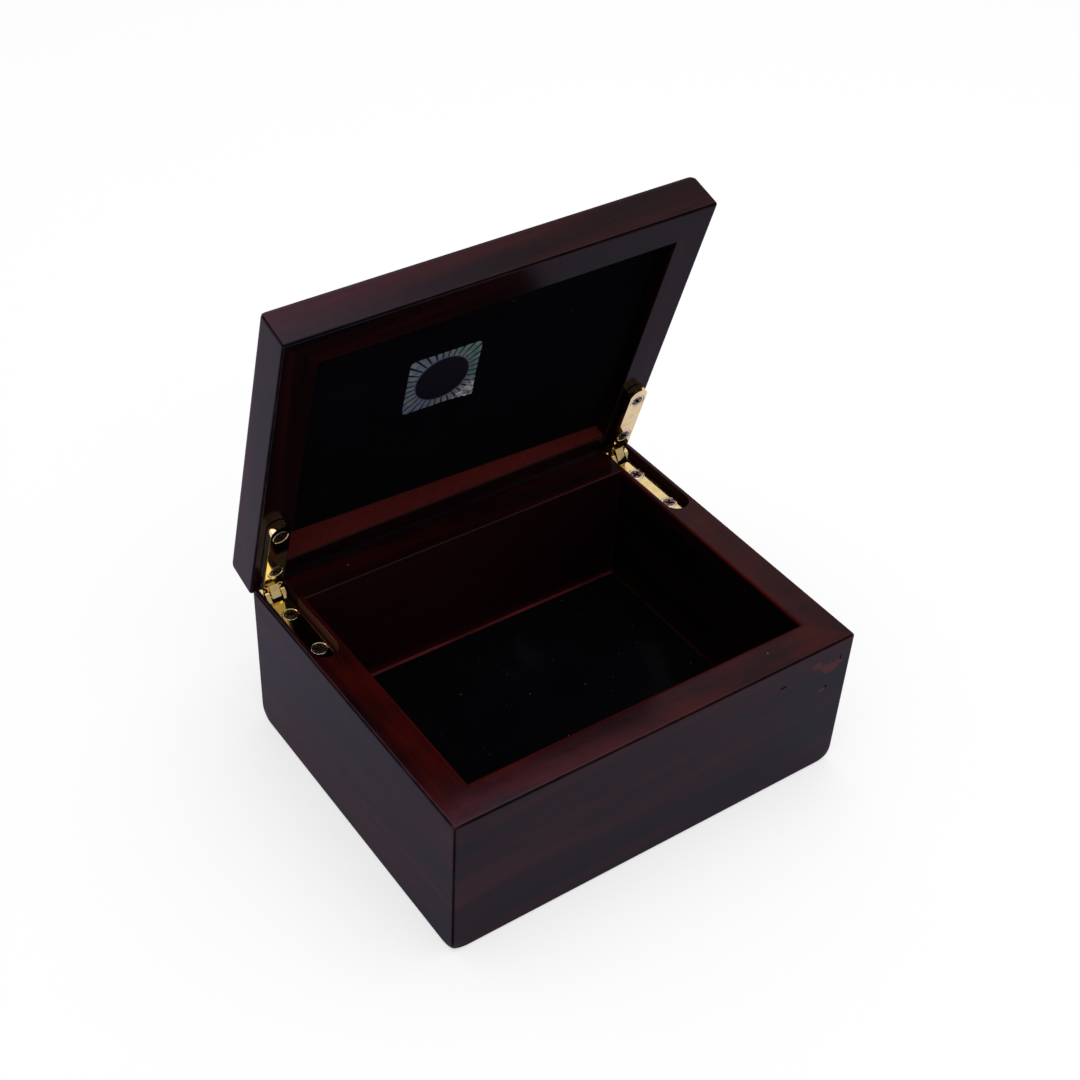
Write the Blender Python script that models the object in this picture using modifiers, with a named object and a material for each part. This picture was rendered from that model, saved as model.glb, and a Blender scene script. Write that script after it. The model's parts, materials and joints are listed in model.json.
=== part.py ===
"""A small lacquered wooden keepsake box, lined with velvet, its lid on two side-rail hinges.

Metres, +Z up. The origin is at the middle of the underside and the front faces -Y. Everything is
drawn with the lid closed, and the empty on the hinge line then turns the lid to where it stands open.
"""
import math

import bmesh
import bpy
from mathutils import Matrix, Vector

# Outside of the body
BOX_WIDTH = 0.152
BOX_DEPTH = 0.120
BODY_HEIGHT = 0.057
WALL = 0.0125
EDGE_RADIUS = 0.0010
ARRIS_RADIUS = 0.0005

# Floor, from the table up
FELT_THICKNESS = 0.0009
BOTTOM_PANEL_THICKNESS = 0.005
BOTTOM_STEP = 0.006
FLOOR_PAD_THICKNESS = 0.004
PAD_EDGE_RADIUS = 0.0009

# Lid, from its rim up
LID_RECESS = 0.0080
LINING_THICKNESS = 0.0015
LINING_EDGE_RADIUS = 0.0005
LID_PANEL_THICKNESS = 0.0045
LID_STEP = 0.0045
LID_EDGE_RADIUS = 0.0024
PANEL_EDGE_RADIUS = 0.0004
LID_OPENING = math.radians(73.5)

# Foil sticker on the lining
STICKER_WIDTH = 0.0255
STICKER_HEIGHT = 0.0248
STICKER_THICKNESS = 0.0002
STICKER_CORNER = 0.0018
STICKER_OFF_CENTRE = -0.0107
STICKER_FROM_FRONT = 0.0506
STICKER_TURN = math.radians(-1.3)

# Clearances
SEAT_GAP = 0.0003
CLOTH_GAP = 0.0004
FOOT_GAP = 0.0003
SLOT_SIDE_GAP = 0.001
SLOT_END_GAP = 0.0027

# Hinges
LEAF_LENGTH = 0.036
LEAF_WIDTH = 0.007
LEAF_THICKNESS = 0.00285
PIN_INSET = 0.0017
PIN_RADIUS = 0.0008
PIN_CLEARANCE = 0.0001
PIN_END = 0.0005
PIN_NOSE = 0.0004
KNUCKLE_FOOT = 0.0006
KNUCKLE_LOWEST = -45
EAR_WIDTH = 0.0014
EAR_REACH = 0.0042
EAR_CLEARANCE = 0.0004
SHOULDER_REACH = 0.0029
FORK_GAP = 0.0005
TONGUE_ROOT = 0.0004
TONGUE_TOE = 0.0016

# Screws
SCREW_LENGTH = 0.010
SCREW_HEAD_RADIUS = 0.0027
SCREW_HEAD_HEIGHT = 0.0015
SCREW_SHANK_RADIUS = 0.0014
SCREW_POINT = 0.0025
SCREW_SUNK = 0.00005
SCREW_NEAR_PIN = 0.0119
SCREW_NEAR_END = 0.0053
CROSS_LENGTH = 0.0032
CROSS_WIDTH = 0.0008
CROSS_DEPTH = 0.001
CROSS_TURN = math.radians(25)

# How finely curves are divided
EDGE_STEPS = 3
ARC_STEPS = 5
END_STEPS = 6
TURNED_STEPS = 20
SMOOTH_ANGLE = math.radians(35)
END_FLAT = 0.0002
OVERCUT = 0.001
TOLERANCE = 0.000001
MERGE_DISTANCE = 0.00001

# Sizes that follow
HALF_WIDTH = BOX_WIDTH / 2
HALF_DEPTH = BOX_DEPTH / 2
BOTTOM_PANEL_BASE = FELT_THICKNESS + SEAT_GAP
BOTTOM_PANEL_TOP = BOTTOM_PANEL_BASE + BOTTOM_PANEL_THICKNESS
FLOOR_PAD_BASE = BOTTOM_PANEL_TOP + SEAT_GAP
LID_RIM = BODY_HEIGHT + SEAT_GAP
LINING_FACE = LID_RIM + LID_RECESS
LID_PANEL_BASE = LINING_FACE + LINING_THICKNESS + SEAT_GAP
LID_TOP = LID_PANEL_BASE + LID_PANEL_THICKNESS
LEAF_FACE = SEAT_GAP / 2
LEAF_BACK = LEAF_FACE + LEAF_THICKNESS
KNUCKLE_RADIUS = LEAF_BACK
PIN_Y = HALF_DEPTH - PIN_INSET
PIN_Z = LID_RIM - SEAT_GAP - LEAF_BACK
HINGE_X = HALF_WIDTH - WALL / 2
TONGUE_WIDTH = LEAF_WIDTH - 2 * (EAR_WIDTH + FORK_GAP)
FORK_REACH = EAR_REACH + EAR_CLEARANCE
SCREW_PLACES = (SCREW_NEAR_PIN, LEAF_LENGTH - SCREW_NEAR_END)

# Finishes: colour, roughness, metallic
LACQUERED_WOOD = ((0.105, 0.028, 0.026), 0.22, 0.0)
BARE_PLYWOOD = ((0.30, 0.19, 0.11), 0.7, 0.0)
BLACK_VELVET = ((0.008, 0.008, 0.010), 1.0, 0.0)
DARK_FELT = ((0.03, 0.03, 0.032), 1.0, 0.0)
POLISHED_BRASS = ((0.80, 0.60, 0.26), 0.18, 1.0)
SILVER_FOIL = ((0.72, 0.75, 0.74), 0.3, 1.0)


def empty_the_scene():
    for obj in list(bpy.data.objects):
        bpy.data.objects.remove(obj, do_unlink=True)


def new_collection(name):
    group = bpy.data.collections.new(name)
    bpy.context.scene.collection.children.link(group)
    return group


def add_object(name, bm, group):
    mesh = bpy.data.meshes.new(name)
    bmesh.ops.recalc_face_normals(bm, faces=bm.faces)
    bm.to_mesh(mesh)
    bm.free()
    obj = bpy.data.objects.new(name, mesh)
    group.objects.link(obj)
    return obj


def add_cutter(name, bm):
    obj = add_object(name, bm, CUTTERS)
    hide_cutter(obj)
    return obj


def hide_cutter(obj):
    obj.hide_render = True
    obj.display_type = "WIRE"


def paint(obj, finish):
    colour, roughness, metallic = finish
    material = bpy.data.materials.new(obj.name + "_finish")
    material.use_nodes = True
    shader = material.node_tree.nodes["Principled BSDF"]
    shader.inputs["Base Color"].default_value = (*colour, 1.0)
    shader.inputs["Roughness"].default_value = roughness
    shader.inputs["Metallic"].default_value = metallic
    material.diffuse_color = (*colour, 1.0)
    obj.data.materials.clear()
    obj.data.materials.append(material)


def smooth(obj):
    obj.data.shade_smooth()
    obj.data.set_sharp_from_angle(angle=SMOOTH_ANGLE)


def cut(obj, tool, operation="DIFFERENCE"):
    modifier = obj.modifiers.new(tool.name, "BOOLEAN")
    modifier.operation = operation
    modifier.solver = "EXACT"
    modifier.object = tool


def round_edges(obj, radius, weighted=False):
    modifier = obj.modifiers.new("rounded_edges", "BEVEL")
    modifier.limit_method = "WEIGHT" if weighted else "ANGLE"
    modifier.width = radius
    modifier.segments = EDGE_STEPS


def block(low, high):
    """A plain block between two corners."""
    bm = bmesh.new()
    bmesh.ops.create_cube(bm, size=1.0)
    low, high = Vector(low), Vector(high)
    bmesh.ops.scale(bm, verts=bm.verts, vec=high - low)
    bmesh.ops.translate(bm, verts=bm.verts, vec=(low + high) / 2)
    return bm


def rod(radius, low, high, axis="Z"):
    """A round rod along Z or X between two heights."""
    bm = bmesh.new()
    bmesh.ops.create_cone(
        bm, cap_ends=True, segments=TURNED_STEPS, radius1=radius, radius2=radius, depth=high - low)
    bmesh.ops.translate(bm, verts=bm.verts, vec=(0, 0, (low + high) / 2))
    if axis == "X":
        bmesh.ops.rotate(bm, verts=bm.verts, matrix=Matrix.Rotation(math.pi / 2, 3, "Y"))
    return bm


def slab(outline, width):
    """A side outline of (y, z) points given a width along X."""
    bm = bmesh.new()
    face = bm.faces.new([bm.verts.new((-width / 2, y, z)) for y, z in outline])
    grown = bmesh.ops.extrude_face_region(bm, geom=[face])
    moved = [item for item in grown["geom"] if isinstance(item, bmesh.types.BMVert)]
    bmesh.ops.translate(bm, verts=moved, vec=(width, 0, 0))
    return bm


def upright_edges(bm, y):
    return [edge for edge in bm.edges
            if all(abs(vert.co.y - y) < TOLERANCE for vert in edge.verts)
            and abs(edge.verts[0].co.x - edge.verts[1].co.x) < TOLERANCE]


def round_end(bm, y, radius):
    """Rounds the end at y in plan, as a router or a rolled bar leaves it."""
    bmesh.ops.bevel(bm, geom=upright_edges(bm, y), offset=radius, segments=END_STEPS,
                    profile=0.5, affect="EDGES")


def arc(centre_y, centre_z, radius, start, end, steps):
    """Points on an arc in the side view, angles in degrees from the back, +Z up."""
    points = []
    for step in range(steps + 1):
        angle = math.radians(start + (end - start) * step / steps)
        points.append((centre_y + radius * math.cos(angle), centre_z + radius * math.sin(angle)))
    return points


def turned(name, profile, group):
    """A turned piece: its profile of (radius, z) points runs from the top to the bottom."""
    bm = bmesh.new()
    verts = [bm.verts.new((radius, 0, z)) for radius, z in profile]
    for first, second in zip(verts, verts[1:]):
        bm.edges.new((first, second))
    mesh = bpy.data.meshes.new(name)
    bm.to_mesh(mesh)
    bm.free()
    obj = bpy.data.objects.new(name, mesh)
    group.objects.link(obj)
    lathe = obj.modifiers.new("lathe", "SCREW")
    lathe.steps = TURNED_STEPS
    lathe.render_steps = TURNED_STEPS
    lathe.use_merge_vertices = True
    lathe.merge_threshold = MERGE_DISTANCE
    return obj


# Mitred boards

def mitred_board(name, outline, length):
    """A board along X from its outline of (inward, up) points, its ends sawn to a mitre."""
    bm = slab(outline, length)
    saw_gap = SEAT_GAP / math.sqrt(2)
    for vert in bm.verts:
        vert.co.x = math.copysign(length / 2 - vert.co.y - saw_gap, vert.co.x)
    return add_object(name, bm, BOX)


def rounded_outline(name, bottom, top, top_radius):
    """The rounded block that the four boards are sanded to, with its own radius round the top."""
    bm = block((-HALF_WIDTH, -HALF_DEPTH, bottom), (HALF_WIDTH, HALF_DEPTH, top))
    weights = bm.edges.layers.float.new("bevel_weight_edge")
    for edge in bm.edges:
        at_top = all(abs(vert.co.z - top) < TOLERANCE for vert in edge.verts)
        edge[weights] = 1.0 if at_top else min(1.0, EDGE_RADIUS / top_radius)
    obj = add_cutter(name, bm)
    round_edges(obj, top_radius, weighted=True)
    return obj


def four_boards(names, outline, shape):
    """Front, right, back and left boards, mitred together and sanded to one rounded block."""
    lengths = (BOX_WIDTH, BOX_DEPTH, BOX_WIDTH, BOX_DEPTH)
    places = ((0, -HALF_DEPTH), (HALF_WIDTH, 0), (0, HALF_DEPTH), (-HALF_WIDTH, 0))
    boards = []
    for turn, (name, length, (x, y)) in enumerate(zip(names, lengths, places)):
        board = mitred_board(name, outline, length)
        board.location = (x, y, 0)
        board.rotation_euler.z = turn * math.pi / 2
        cut(board, shape, "INTERSECT")
        paint(board, LACQUERED_WOOD)
        boards.append(board)
    return boards


def wall_outline():
    """Section of a wall: a soft inner arris at the rim and a step for the bottom panel."""
    step = BOTTOM_PANEL_TOP + SEAT_GAP
    arris = arc(WALL - ARRIS_RADIUS, BODY_HEIGHT - ARRIS_RADIUS, ARRIS_RADIUS, 90, 0, EDGE_STEPS)
    return [(-OVERCUT, -OVERCUT), (-OVERCUT, BODY_HEIGHT + OVERCUT),
            (WALL - ARRIS_RADIUS, BODY_HEIGHT + OVERCUT), *arris,
            (WALL, step), (WALL - BOTTOM_STEP, step), (WALL - BOTTOM_STEP, -OVERCUT)]


def rail_outline():
    """Section of a lid rail: a soft inner arris at the rim and a step for the top panel."""
    step = LID_PANEL_BASE - SEAT_GAP
    arris = arc(WALL - ARRIS_RADIUS, LID_RIM + ARRIS_RADIUS, ARRIS_RADIUS, -90, 0, EDGE_STEPS)
    return [(-OVERCUT, LID_TOP + OVERCUT), (-OVERCUT, LID_RIM - OVERCUT),
            (WALL - ARRIS_RADIUS, LID_RIM - OVERCUT), *arris,
            (WALL, step), (WALL - LID_STEP, step), (WALL - LID_STEP, LID_TOP + OVERCUT)]


def make_walls():
    shape = rounded_outline("body_shape", FOOT_GAP, BODY_HEIGHT, EDGE_RADIUS)
    names = ("front_wall", "right_wall", "back_wall", "left_wall")
    return dict(zip(names, four_boards(names, wall_outline(), shape)))


def make_rails():
    shape = rounded_outline("lid_shape", LID_RIM, LID_TOP, LID_EDGE_RADIUS)
    names = ("lid_front_rail", "lid_right_rail", "lid_back_rail", "lid_left_rail")
    rails = four_boards(names, rail_outline(), shape)
    return shape, dict(zip(names, rails))


# Panels and cloth-covered boards

def sheet(name, inset, base, top, radius, finish):
    """A flat sheet that lies this far inside the box's outline, its edges softened."""
    x, y = HALF_WIDTH - inset, HALF_DEPTH - inset
    obj = add_object(name, block((-x, -y, base), (x, y, top)), BOX)
    if radius:
        round_edges(obj, radius)
    paint(obj, finish)
    return obj


def make_floor():
    step = WALL - BOTTOM_STEP + SEAT_GAP
    sheet("base_felt", step, 0, FELT_THICKNESS, 0, DARK_FELT)
    sheet("bottom_panel", step, BOTTOM_PANEL_BASE, BOTTOM_PANEL_TOP, 0, BARE_PLYWOOD)
    sheet("floor_pad", WALL + CLOTH_GAP, FLOOR_PAD_BASE, FLOOR_PAD_BASE + FLOOR_PAD_THICKNESS,
          PAD_EDGE_RADIUS, BLACK_VELVET)


def make_lid_panels():
    panel = sheet("lid_top_panel", WALL - LID_STEP + SEAT_GAP, LID_PANEL_BASE, LID_TOP,
                  PANEL_EDGE_RADIUS, LACQUERED_WOOD)
    lining = sheet("lid_lining", WALL + CLOTH_GAP, LINING_FACE, LINING_FACE + LINING_THICKNESS,
                   LINING_EDGE_RADIUS, BLACK_VELVET)
    return [panel, lining, make_sticker()]


def make_sticker():
    """A thin foil label with round corners, stuck to the lining a little askew."""
    x, y = STICKER_WIDTH / 2, STICKER_HEIGHT / 2
    bm = block((-x, -y, -STICKER_THICKNESS / 2), (x, y, STICKER_THICKNESS / 2))
    bmesh.ops.bevel(bm, geom=upright_corners(bm), offset=STICKER_CORNER, segments=END_STEPS,
                    profile=0.5, affect="EDGES")
    sticker = add_object("foil_sticker", bm, BOX)
    height = LINING_FACE - SEAT_GAP / 2 - STICKER_THICKNESS / 2
    sticker.location = (STICKER_OFF_CENTRE, STICKER_FROM_FRONT - HALF_DEPTH, height)
    sticker.rotation_euler.z = STICKER_TURN
    paint(sticker, SILVER_FOIL)
    return sticker


def upright_corners(bm):
    return [edge for edge in bm.edges if abs(edge.verts[0].co.z - edge.verts[1].co.z) > TOLERANCE]


# Hinges: every leaf is drawn round the pin, X across the leaf and Y towards the back

def tangent_angle(y, z):
    """Angle at which a line from (y, z) in front of the knuckle touches the knuckle's top."""
    reach = math.hypot(y, z)
    return math.degrees(math.atan2(z, y) % (2 * math.pi) - math.acos(KNUCKLE_RADIUS / reach))


def base_leaf_outline():
    """Side view of the base leaf: a thick bar that rises to the knuckle in a slope."""
    slope = tangent_angle(-EAR_REACH, -LEAF_FACE)
    knuckle = arc(0, 0, KNUCKLE_RADIUS, slope, KNUCKLE_LOWEST, 2 * ARC_STEPS)
    return [(-LEAF_LENGTH, -LEAF_BACK), (-LEAF_LENGTH, -LEAF_FACE), (-EAR_REACH, -LEAF_FACE),
            *knuckle, (KNUCKLE_FOOT, -LEAF_BACK)]


def lid_leaf_outline():
    """Side view of the lid leaf: its shoulder is cut back to pass the slope of the ears."""
    slope = math.radians(tangent_angle(-EAR_REACH, -LEAF_FACE) - 90)
    rise = math.tan(slope)
    lift = EAR_CLEARANCE / math.cos(slope) - LEAF_FACE
    toe = -EAR_REACH + (LEAF_FACE - lift) / rise
    heel = lift + rise * (EAR_REACH - SHOULDER_REACH)
    return [(-LEAF_LENGTH, LEAF_FACE), (-LEAF_LENGTH, LEAF_BACK), (-SHOULDER_REACH, LEAF_BACK),
            (-SHOULDER_REACH, heel), (toe, LEAF_FACE)]


def tongue_outline():
    """Side view of the tongue: round behind the pin, with a toe that fills the fork of an open lid."""
    knuckle = arc(0, 0, KNUCKLE_RADIUS, 90, -90, 2 * ARC_STEPS)
    root_top = (-SHOULDER_REACH - TONGUE_ROOT, KNUCKLE_RADIUS)
    root_bottom = (-EAR_REACH - TONGUE_ROOT, LEAF_FACE)
    return [root_top, *knuckle, (-TONGUE_TOE, -KNUCKLE_RADIUS), root_bottom]


def screw_profile(grow=0.0, above=0.0):
    """A countersunk screw from the top of its head down, or with grow and above, its hole."""
    flare = (SCREW_HEAD_RADIUS - SCREW_SHANK_RADIUS) / SCREW_HEAD_HEIGHT
    head = SCREW_HEAD_RADIUS + grow + above * flare
    shank = SCREW_SHANK_RADIUS + grow
    tip = SCREW_LENGTH + grow
    return [(0, above), (head, above), (shank, -SCREW_HEAD_HEIGHT), (shank, SCREW_POINT - tip), (0, -tip)]


def make_screw(name, turn):
    screw = turned(name, screw_profile(), BOX)
    half, wide = CROSS_LENGTH / 2, CROSS_WIDTH / 2
    for label, x, y in (("long", half, wide), ("short", wide, half)):
        slot = add_cutter(f"{name}_cross_{label}", block((-x, -y, -CROSS_DEPTH), (x, y, OVERCUT)))
        slot.parent = screw
        cut(screw, slot)
    screw.rotation_euler.z = turn
    paint(screw, POLISHED_BRASS)
    return screw


def make_pin(name):
    """The hinge pin, lying along X, with slightly rounded ends."""
    half = LEAF_WIDTH / 2 + PIN_END
    flat = PIN_RADIUS - PIN_NOSE
    pin = turned(name, [(0, half), (flat, half), (PIN_RADIUS, half - PIN_NOSE),
                        (PIN_RADIUS, PIN_NOSE - half), (flat, -half), (0, -half)], BOX)
    pin.rotation_euler.y = math.pi / 2
    paint(pin, POLISHED_BRASS)
    return pin


def leaf(name, outline):
    bm = slab(outline, LEAF_WIDTH)
    round_end(bm, -LEAF_LENGTH, LEAF_WIDTH / 2 - END_FLAT)
    return add_object(name, bm, BOX)


def drill_leaf(obj, facing):
    """Cuts the pin's hole and two countersunk holes; facing is 1 for a face that looks up."""
    bore = rod(PIN_RADIUS + PIN_CLEARANCE, -LEAF_WIDTH, LEAF_WIDTH, "X")
    pin_hole = add_cutter(obj.name + "_pin_hole", bore)
    pin_hole.parent = obj
    cut(obj, pin_hole)
    for index, place in enumerate(SCREW_PLACES, start=1):
        hole = turned(f"{obj.name}_hole_{index}", screw_profile(SEAT_GAP, OVERCUT), CUTTERS)
        hide_cutter(hole)
        hole.parent = obj
        hole.location = (0, -place, -facing * LEAF_FACE)
        hole.rotation_euler.x = 0 if facing > 0 else math.pi
        cut(obj, hole)


def make_base_leaf(name):
    obj = leaf(name, base_leaf_outline())
    fork, high = TONGUE_WIDTH / 2 + FORK_GAP, 2 * LEAF_BACK
    gap = add_cutter(name + "_fork", block((-fork, -FORK_REACH, -high), (fork, high, high)))
    gap.parent = obj
    cut(obj, gap)
    drill_leaf(obj, 1)
    paint(obj, POLISHED_BRASS)
    return obj


def make_lid_leaf(name):
    obj = leaf(name, lid_leaf_outline())
    tongue = add_cutter(name + "_tongue", slab(tongue_outline(), TONGUE_WIDTH))
    tongue.parent = obj
    cut(obj, tongue, "UNION")
    drill_leaf(obj, -1)
    paint(obj, POLISHED_BRASS)
    return obj


def make_slot(side, x):
    """The slot routed down into the body for both leaves, open at the back and round in front."""
    half = LEAF_WIDTH / 2 + SLOT_SIDE_GAP
    front = PIN_Y - LEAF_LENGTH - SLOT_END_GAP
    floor = PIN_Z - LEAF_BACK - SEAT_GAP
    bm = block((x - half, front, floor), (x + half, HALF_DEPTH + OVERCUT, BODY_HEIGHT + OVERCUT))
    round_end(bm, front, half - END_FLAT)
    return add_cutter(f"{side}_slot", bm)


def pilot_hole(name, x, place, direction):
    """The hole in the wood for one screw, direction -1 down into the body or 1 up into the lid."""
    start = PIN_Z + direction * LEAF_FACE
    end = start + direction * (SCREW_LENGTH + SEAT_GAP)
    hole = add_cutter(name, rod(SCREW_SHANK_RADIUS + SEAT_GAP, min(start, end), max(start, end)))
    hole.location = (x, PIN_Y - place, 0)
    return hole


def make_hinge(side, x, walls, rails):
    """One hinge with its slot, pin and four screws; gives back what belongs to the lid."""
    base = make_base_leaf(f"hinge_base_leaf_{side}")
    moving = make_lid_leaf(f"hinge_lid_leaf_{side}")
    pin = make_pin(f"hinge_pin_{side}")
    for obj in (base, moving, pin):
        obj.location = (x, PIN_Y, PIN_Z)
    slot = make_slot(side, x)
    cut(walls[f"{side}_wall"], slot)
    cut(walls["back_wall"], slot)
    lid_side = [moving]
    for index, place in enumerate(SCREW_PLACES, start=1):
        base_screw = make_screw(f"base_screw_{side}_{index}", index * CROSS_TURN)
        base_screw.location = (x, PIN_Y - place, PIN_Z - LEAF_FACE - SCREW_SUNK)
        cut(walls[f"{side}_wall"], pilot_hole(f"{side}_pilot_{index}", x, place, -1))
        lid_screw = make_screw(f"lid_screw_{side}_{index}", -index * CROSS_TURN)
        lid_screw.location = (x, PIN_Y - place, PIN_Z + LEAF_FACE + SCREW_SUNK)
        lid_screw.rotation_euler.x = math.pi
        hole = pilot_hole(f"{side}_lid_pilot_{index}", x, place, 1)
        cut(rails[f"lid_{side}_rail"], hole)
        lid_side += [lid_screw, hole]
    return lid_side


def hang_lid(pieces):
    """Hangs the lid's pieces on an empty on the hinge line and turns it to the open position."""
    pivot = Vector((0, PIN_Y, PIN_Z))
    axis = bpy.data.objects.new("lid_hinge_line", None)
    axis.empty_display_size = HALF_WIDTH
    BOX.objects.link(axis)
    axis.location = pivot
    for piece in pieces:
        piece.parent = axis
        piece.matrix_parent_inverse = Matrix.Translation(-pivot)
    axis.rotation_euler.x = -LID_OPENING


empty_the_scene()
BOX = new_collection("keepsake_box")
CUTTERS = new_collection("cutters")
body_walls = make_walls()
lid_shape, lid_rails = make_rails()
make_floor()
lid_pieces = [lid_shape, *lid_rails.values(), *make_lid_panels()]
for hinge_side, hinge_x in (("left", -HINGE_X), ("right", HINGE_X)):
    lid_pieces += make_hinge(hinge_side, hinge_x, body_walls, lid_rails)
hang_lid(lid_pieces)
for made in BOX.objects:
    if made.type == "MESH":
        smooth(made)
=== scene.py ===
"""The look of a small keepsake box: mahogany boards under gloss lacquer, black velvet, brass hinges.

Metres, +Z up, in the frame of the solids. The pieces of the lid are modelled with the lid shut and
then turned open about the hinge line, and their finishes turn their patterns back the same way.
"""

import json
import math

import bmesh
import bpy
from mathutils import Euler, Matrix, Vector, noise


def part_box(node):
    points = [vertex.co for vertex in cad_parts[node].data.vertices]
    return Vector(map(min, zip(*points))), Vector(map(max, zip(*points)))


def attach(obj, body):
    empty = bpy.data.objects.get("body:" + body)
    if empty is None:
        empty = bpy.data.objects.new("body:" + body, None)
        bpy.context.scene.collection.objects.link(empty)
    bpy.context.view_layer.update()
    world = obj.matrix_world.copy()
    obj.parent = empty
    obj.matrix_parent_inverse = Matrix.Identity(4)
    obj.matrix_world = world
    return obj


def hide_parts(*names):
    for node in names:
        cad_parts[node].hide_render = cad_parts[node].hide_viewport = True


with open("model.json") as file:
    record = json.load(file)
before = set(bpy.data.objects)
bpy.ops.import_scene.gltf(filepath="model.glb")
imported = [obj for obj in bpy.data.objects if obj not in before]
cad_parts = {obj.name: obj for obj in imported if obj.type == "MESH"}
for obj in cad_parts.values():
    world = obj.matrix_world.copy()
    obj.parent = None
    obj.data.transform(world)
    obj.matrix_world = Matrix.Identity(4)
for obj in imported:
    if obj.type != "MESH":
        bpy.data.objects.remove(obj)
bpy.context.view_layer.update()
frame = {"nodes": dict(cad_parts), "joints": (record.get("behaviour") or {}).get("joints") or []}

# Body and lid, as the solids have them
HALF_WIDTH = 0.076
HALF_DEPTH = 0.060
WALL = 0.0125
WALL_FOOT = 0.0003
BODY_TOP = 0.057
FLOOR_STEP = 0.0065
BOTTOM_STEP = 0.006
LID_RIM = 0.0573
LID_TOP = 0.0716
LID_STEP_HEIGHT = 0.0668
LID_STEP = 0.0045
EDGE_RADIUS = 0.001
ARRIS_RADIUS = 0.0005
LID_EDGE_RADIUS = 0.0024
REBATE_RADIUS = 0.0003
LID_OPENING = math.radians(73.5)

# Hinges
HINGE_LINE = Vector(frame["joints"][0]["pos_m"])
HINGE_X = HALF_WIDTH - WALL / 2
LEAF_LENGTH = 0.036
LEAF_WIDTH = 0.007
LEAF_FACE = 0.00015
LEAF_BACK = 0.003
LEAF_END_RADIUS = 0.0033
LEAF_SOFTNESS = 0.0003
KNUCKLE_RADIUS = 0.003
KNUCKLE_FOOT = 0.0006
PIN_RADIUS = 0.0008
PIN_HALF_LENGTH = 0.004
PIN_END_RADIUS = 0.0003
TONGUE_WIDTH = 0.0032
TONGUE_ROOT = 0.0004
TONGUE_TOE = 0.0016
FORK_WIDTH = 0.0042
FORK_REACH = 0.0046
EAR_REACH = 0.0042
SHOULDER_REACH = 0.0029
SHOULDER_GAP = 0.0004
SLOT_SIDE_GAP = 0.001
SLOT_END_GAP = 0.0027
SLOT_FLOOR = 0.0507

# Screws
SCREW_PLACES = (0.0119, 0.0307)
SCREW_RING_RADIUS = 0.00025
SCREW_POINT_LENGTH = 0.0025
SCREW_TIP_RADIUS = 0.0001
SCREW_HEAD_RADIUS = 0.0027
SCREW_HEAD_HEIGHT = 0.0015
SCREW_SHANK_RADIUS = 0.0014
SCREW_LENGTH = 0.010
SCREW_SUNK = 0.00005
HOLE_GAP = 0.00012
CROSS_LENGTH = 0.0032
CROSS_WIDTH = 0.0008
CROSS_DEPTH = 0.0011
CROSS_TURN = math.radians(25)

# Cloth and foil
CLOTH_GAP = 0.0004
CLOTH_SQUARES = 0.004
PAD_SOFTNESS = 0.0009
PAD_UNEVENNESS = 0.00025
PAD_WAVES = 60
LINING_SOFTNESS = 0.0005
LINING_UNEVENNESS = 0.0001
LINING_WAVES = 50
FELT_SOFTNESS = 0.0003
STICKER_SIZE = (0.0255, 0.0248)
STICKER_THICKNESS = 0.00012
STICKER_CORNER = 0.0018
STICKER_PLACE = (-0.0108, -0.0096, 0.0648)
STICKER_TURN = math.radians(-1.3)
FOIL_SQUARES = 0.0005
CRINKLE_HEIGHT = 0.0009
CRINKLE_REACH = 0.009
CRINKLE_WAVES = 700
LINING_LEFT = 0.0665
LINING_RIGHT = 0.0623
LINING_SLOPE = math.atan2(LINING_LEFT - LINING_RIGHT, 2 * (HALF_WIDTH - WALL))

# Sanding of the corners at the foot
SANDING_STEPS = (0.0015, 0.002, 0.0025, 0.003, 0.0035, 0.004, 0.005, 0.006)
SANDING_REACH = 0.006
SANDING_DEPTH = 0.00085

# Camera, at the photograph's angle
CAMERA_PLACE = (-0.257724, -0.331688, 0.433668)
CAMERA_TURN = (49.072, -1.499, -33.808)
CAMERA_LENS = 58.68
CAMERA_SHIFT = (0.046, 0.0358)

# Floor, room and lamp
FLOOR_RADIUS = 4
FLOOR_DROP = 0.00005
FLOOR_PLAIN = (0.66, 0.66, 0.67)
FLOOR_MIRRORED = (0.54, 0.50, 0.66)
FLOOR_SEEN = (0.44, 0.44, 0.44)
FLOOR_GLOW = (0.62, 0.62, 0.62)
MIRRORED_GLOW = (0.80, 0.76, 1.0)
WHITE = (1, 1, 1)
WALL_MIRRORED = (0.84, 0.80, 0.88)
WINDOW_VIOLET = (1.0, 0.66, 1.0)
WINDOW_EXTRA = 1.5
ROOM_LIGHT = 0.65
FRONT_DIMMING = 0.5
LAMP_PLACE = (0.1, -0.1, 1.2)
LAMP_SIZE = 1.2
LAMP_POWER = 5

X_AXIS, Y_AXIS, Z_AXIS = Vector((1, 0, 0)), Vector((0, 1, 0)), Vector((0, 0, 1))
LAID_ALONG_X = (0, math.pi / 2, 0)
CURVE_STEPS = 6
OVERCUT = 0.002
TOLERANCE = 0.00001
SMOOTH_ANGLE = math.radians(32)


# Modelling tools

def deselect():
    bpy.ops.object.select_all(action="DESELECT")


def only(obj):
    """Makes obj the one selected and active object."""
    deselect()
    obj.select_set(True)
    bpy.context.view_layer.objects.active = obj


def edit(obj):
    only(obj)
    bpy.ops.object.mode_set(mode="EDIT")


def leave():
    bpy.ops.object.mode_set(mode="OBJECT")


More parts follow.
